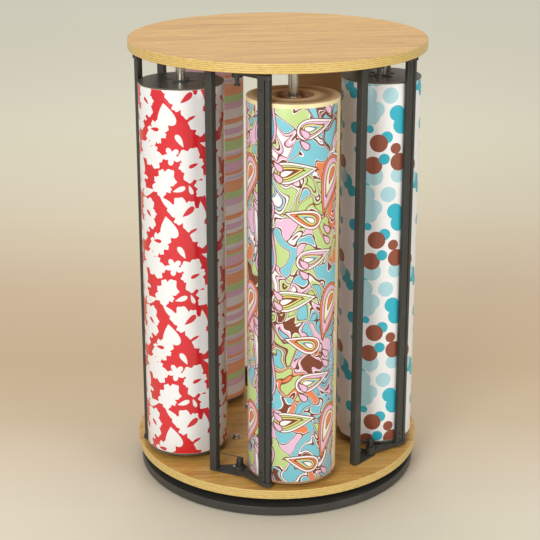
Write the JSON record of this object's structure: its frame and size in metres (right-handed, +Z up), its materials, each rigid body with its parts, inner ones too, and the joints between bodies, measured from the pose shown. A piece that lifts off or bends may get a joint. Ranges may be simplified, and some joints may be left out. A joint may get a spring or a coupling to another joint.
{
  "type": "rotating gift wrap roll display rack",
  "caption": "Round two-shelf carousel on a turntable, with upright gift-wrap rolls on lift-out shafts and sprung cutter bars beside them.",
  "frame": {"origin": "centre of the footprint, on the surface that the rubber feet stand on", "axes": "+Z up along the turning axis, -Y towards the swirl-pattern roll, roll 1"},
  "size_m": [0.5999, 0.6, 0.915],
  "materials": {
    "oak_ply": "satin clear varnish on oak-faced plywood",
    "base_board": "black laminate over board",
    "foot_rubber": "matte",
    "zinc": "bright zinc plate",
    "ball_steel": "polished",
    "spring_steel": "blackened",
    "blade_steel": "dark burnished",
    "black_paint": "charcoal powder coat",
    "hub_plastic": "black moulded plastic",
    "brown_plastic": "brown moulded plastic",
    "core_board": "spiral-wound board",
    "paper_swirl": "coated gift wrap, swirls in green, blue, pink and orange",
    "paper_dots": "coated gift wrap, turquoise and rust dots on white",
    "paper_kraft": "kraft paper",
    "paper_stripe": "coated gift wrap, pastel bands",
    "paper_floral": "glossy gift wrap, white foliage on red"
  },
  "bodies": {
    "base": {"base_disc": "base_board", "base_feet": "foot_rubber", "bearing_lower_ring": "zinc", "bearing_balls": "ball_steel"},
    "carousel": {"bearing_upper_ring": "zinc", "turntable_disc": "base_board", "turntable_bolts": "zinc", "bottom_shelf": "oak_ply", "top_shelf": "oak_ply", "pivot_brackets": "black_paint", "bracket_screws": "zinc", "pivot_pins": "black_paint", "bottom_sockets": "hub_plastic", "top_sockets": "zinc", "post_1": "black_paint", "post_2": "black_paint", "post_3": "black_paint", "post_4": "black_paint", "post_5": "black_paint", "spring_1": "spring_steel", "spring_2": "spring_steel", "spring_3": "spring_steel", "spring_4": "spring_steel", "spring_5": "spring_steel"},
    "cutter_1": {"cutter_bar_1": "black_paint", "cutter_blade_1": "blade_steel", "cutter_arms_1": "black_paint"},
    "shaft_1": {"shaft_1": "zinc"},
    "roll_1": {"paper_roll_1": "paper_swirl", "roll_core_1": "core_board", "roll_hubs_1": "brown_plastic"},
    "cutter_2": {"cutter_bar_2": "black_paint", "cutter_blade_2": "blade_steel", "cutter_arms_2": "black_paint"},
    "shaft_2": {"shaft_2": "zinc"},
    "roll_2": {"paper_roll_2": "paper_dots", "roll_core_2": "core_board", "roll_hubs_2": "hub_plastic"},
    "cutter_3": {"cutter_bar_3": "black_paint", "cutter_blade_3": "blade_steel", "cutter_arms_3": "black_paint"},
    "shaft_3": {"shaft_3": "zinc"},
    "roll_3": {"paper_roll_3": "paper_kraft", "roll_core_3": "core_board", "roll_hubs_3": "hub_plastic"},
    "cutter_4": {"cutter_bar_4": "black_paint", "cutter_blade_4": "blade_steel", "cutter_arms_4": "black_paint"},
    "shaft_4": {"shaft_4": "zinc"},
    "roll_4": {"paper_roll_4": "paper_stripe", "roll_core_4": "core_board", "roll_hubs_4": "hub_plastic"},
    "cutter_5": {"cutter_bar_5": "black_paint", "cutter_blade_5": "blade_steel", "cutter_arms_5": "black_paint"},
    "shaft_5": {"shaft_5": "zinc"},
    "roll_5": {"paper_roll_5": "paper_floral", "roll_core_5": "core_board", "roll_hubs_5": "hub_plastic"}
  },
  "joints": [
    {"name": "carousel_spin", "type": "hinge", "parent": "base", "child": "carousel", "pos_m": [0, 0, 0.02], "axis": [0, 0, 1], "continuous": true},
    {"name": "shaft_lift_1", "type": "slide", "parent": "carousel", "child": "shaft_1", "axis": [0, 0, 1], "range_m": [0, 0.018]},
    {"name": "roll_spin_1", "type": "hinge", "parent": "shaft_1", "child": "roll_1", "pos_m": [0, -0.21, 0.078], "axis": [0, 0, 1], "continuous": true},
    {"name": "cutter_swing_1", "type": "hinge", "parent": "carousel", "child": "cutter_1", "pos_m": [-0.106, -0.216, 0.07], "axis": [0, 0, -1], "range_deg": [0, 70], "stiffness_Nm_per_rad": 0.5, "springref_deg": -34.38, "deforming": ["spring_1"]},
    {"name": "shaft_lift_2", "type": "slide", "parent": "carousel", "child": "shaft_2", "axis": [0, 0, 1], "range_m": [0, 0.018]},
    {"name": "roll_spin_2", "type": "hinge", "parent": "shaft_2", "child": "roll_2", "pos_m": [0.19972, -0.06489, 0.078], "axis": [0, 0, 1], "continuous": true},
    {"name": "cutter_swing_2", "type": "hinge", "parent": "carousel", "child": "cutter_2", "pos_m": [0.17267, -0.16756, 0.07], "axis": [0, 0, -1], "range_deg": [0, 70], "stiffness_Nm_per_rad": 0.5, "springref_deg": -34.38, "deforming": ["spring_2"]},
    {"name": "shaft_lift_3", "type": "slide", "parent": "carousel", "child": "shaft_3", "axis": [0, 0, 1], "range_m": [0, 0.018]},
    {"name": "roll_spin_3", "type": "hinge", "parent": "shaft_3", "child": "roll_3", "pos_m": [0.12344, 0.16989, 0.078], "axis": [0, 0, 1], "continuous": true},
    {"name": "cutter_swing_3", "type": "hinge", "parent": "carousel", "child": "cutter_3", "pos_m": [0.21272, 0.11244, 0.07], "axis": [0, 0, -1], "range_deg": [0, 70], "stiffness_Nm_per_rad": 0.5, "springref_deg": -34.38, "deforming": ["spring_3"]},
    {"name": "shaft_lift_4", "type": "slide", "parent": "carousel", "child": "shaft_4", "axis": [0, 0, 1], "range_m": [0, 0.018]},
    {"name": "roll_spin_4", "type": "hinge", "parent": "shaft_4", "child": "roll_4", "pos_m": [-0.12344, 0.16989, 0.078], "axis": [0, 0, 1], "continuous": true},
    {"name": "cutter_swing_4", "type": "hinge", "parent": "carousel", "child": "cutter_4", "pos_m": [-0.04121, 0.23705, 0.07], "axis": [0, 0, -1], "range_deg": [0, 70], "stiffness_Nm_per_rad": 0.5, "springref_deg": -34.38, "deforming": ["spring_4"]},
    {"name": "shaft_lift_5", "type": "slide", "parent": "carousel", "child": "shaft_5", "axis": [0, 0, 1], "range_m": [0, 0.018]},
    {"name": "roll_spin_5", "type": "hinge", "parent": "shaft_5", "child": "roll_5", "pos_m": [-0.19972, -0.06489, 0.078], "axis": [0, 0, 1], "continuous": true},
    {"name": "cutter_swing_5", "type": "hinge", "parent": "carousel", "child": "cutter_5", "pos_m": [-0.23818, 0.03406, 0.07], "axis": [0, 0, -1], "range_deg": [0, 70], "stiffness_Nm_per_rad": 0.5, "springref_deg": -34.38, "deforming": ["spring_5"]}
  ]
}
